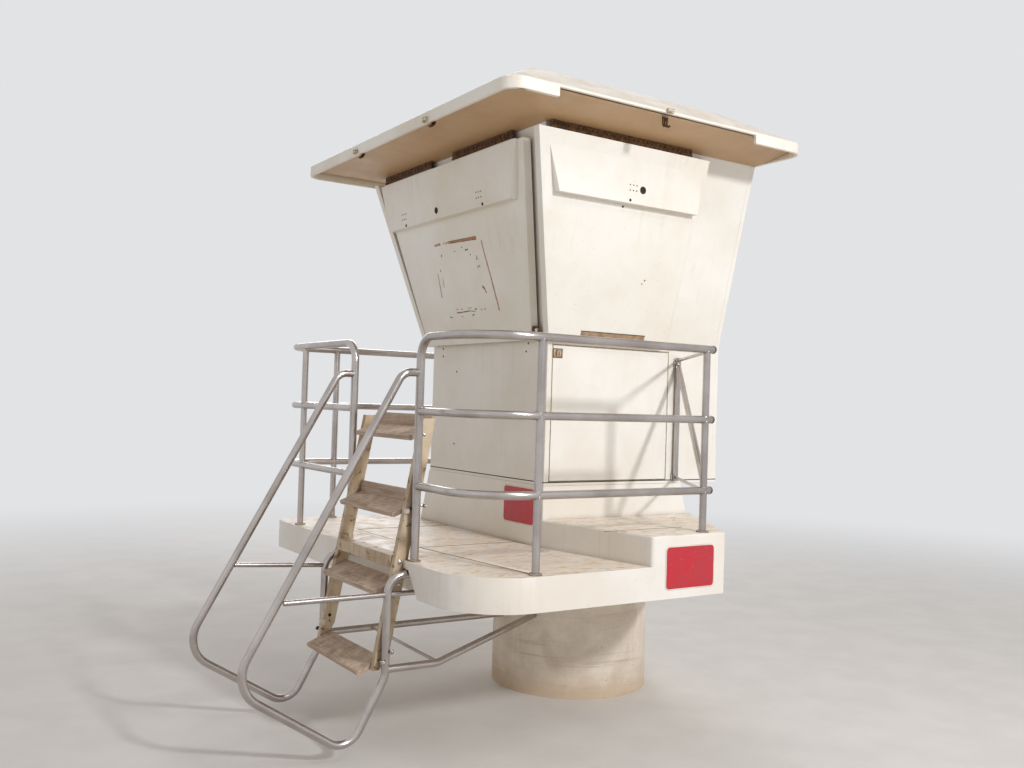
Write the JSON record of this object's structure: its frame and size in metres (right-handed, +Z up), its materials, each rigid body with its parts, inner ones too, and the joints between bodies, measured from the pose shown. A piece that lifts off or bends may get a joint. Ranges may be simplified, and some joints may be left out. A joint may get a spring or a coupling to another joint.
{
  "type": "lifeguard tower",
  "caption": "Lifeguard tower: a flared shuttered cabin on a railed deck over a round pedestal, reached by a ladder with looped handrails.",
  "frame": {"origin": "centre of the pedestal's foot, on the ground", "axes": "+Z up; -X towards the ladder and the long shutter; -Y towards the half door and the raised walkway"},
  "size_m": [2.9137, 2.546, 3.288],
  "materials": {
    "pedestal_concrete": "rough cast",
    "deck_gelcoat": "weathered gelcoat",
    "cabin_gelcoat": "weathered gelcoat",
    "roof_gelcoat": "weathered gelcoat",
    "shutter_gelcoat": "weathered gelcoat",
    "rail_steel": "brushed",
    "ladder_paint": "satin",
    "tread_board": "weathered",
    "bronze_fittings": "aged",
    "warning_red": "satin"
  },
  "bodies": {
    "tower": {"pedestal": "pedestal_concrete", "lower_deck": "deck_gelcoat", "raised_walkway": "deck_gelcoat", "landing_board": "deck_gelcoat", "cabin_base": "cabin_gelcoat", "cabin_floor": "cabin_gelcoat", "left_wall_lower": "cabin_gelcoat", "left_wall_upper": "cabin_gelcoat", "far_wall_lower": "cabin_gelcoat", "far_wall_upper": "cabin_gelcoat", "near_wall_band": "cabin_gelcoat", "near_wall_upper": "cabin_gelcoat", "rear_wall": "cabin_gelcoat", "roof_shell": "roof_gelcoat", "soffit": "roof_gelcoat", "far_shutter": "shutter_gelcoat", "hinge_strips": "bronze_fittings", "fascia_catches": "bronze_fittings", "near_top_rail": "rail_steel", "near_middle_rail": "rail_steel", "near_bottom_rail": "rail_steel", "far_top_rail": "rail_steel", "far_middle_rail": "rail_steel", "far_bottom_rail": "rail_steel", "near_posts": "rail_steel", "far_posts": "rail_steel", "near_end_frame": "rail_steel", "far_end_frame": "rail_steel", "near_handrail_loop": "rail_steel", "far_handrail_loop": "rail_steel", "loop_struts": "rail_steel", "near_brace": "rail_steel", "far_brace": "rail_steel", "brace_tie": "rail_steel", "near_stringer": "ladder_paint", "far_stringer": "ladder_paint", "tread_1": "tread_board", "tread_2": "tread_board", "tread_3": "tread_board", "tread_4": "tread_board", "deck_plate": "warning_red", "base_plate": "warning_red"},
    "near_shutter": {"near_shutter": "shutter_gelcoat"},
    "left_shutter": {"left_shutter": "shutter_gelcoat"},
    "side_door": {"side_door": "cabin_gelcoat"}
  },
  "joints": [
    {"name": "near_shutter_hinge", "type": "hinge", "parent": "tower", "child": "near_shutter", "pos_m": [-0.34, -0.8532, 3.012], "axis": [-1, 0, 0], "range_deg": [0, 90]},
    {"name": "left_shutter_hinge", "type": "hinge", "parent": "tower", "child": "left_shutter", "pos_m": [-0.8822, 0.106, 3.005], "axis": [0, 1, 0], "range_deg": [0, 90]},
    {"name": "side_door_hinge", "type": "hinge", "parent": "tower", "child": "side_door", "pos_m": [0.225, -0.54, 1.596], "axis": [0, 0, -1], "range_deg": [0, 90]}
  ]
}
